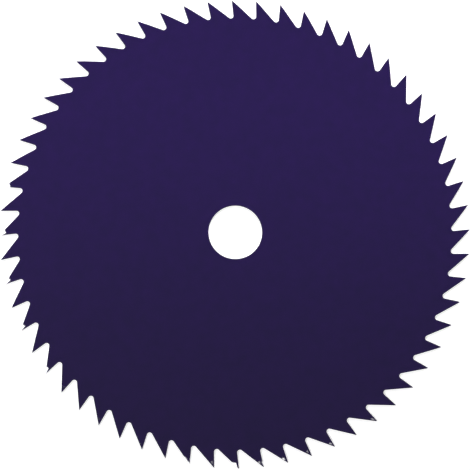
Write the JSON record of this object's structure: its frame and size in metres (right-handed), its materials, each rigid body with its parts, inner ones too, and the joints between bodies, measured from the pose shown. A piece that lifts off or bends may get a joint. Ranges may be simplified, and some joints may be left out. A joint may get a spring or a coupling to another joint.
{
  "type": "brush cutter blade",
  "caption": "Flat lacquered steel disc blade with raked pointed teeth round its rim, set and ground turn about, and a plain arbor hole.",
  "frame": {"origin": "on the blade's axis, level with the lowest points of the downward-set teeth, which it lies on", "axes": "+Z along the arbor axis, out of the upper face; +X through the tip of the first downward-set tooth, turned by 0.83 degrees; seen from +Z the steep cutting faces look counterclockwise"},
  "size_m": [0.225, 0.225, 0.0016],
  "materials": {
    "lacquered_steel": "satin violet-blue lacquer over sheet steel, on the ground tips too"
  },
  "bodies": {
    "root": {"blade": "lacquered_steel"}
  },
  "joints": []
}
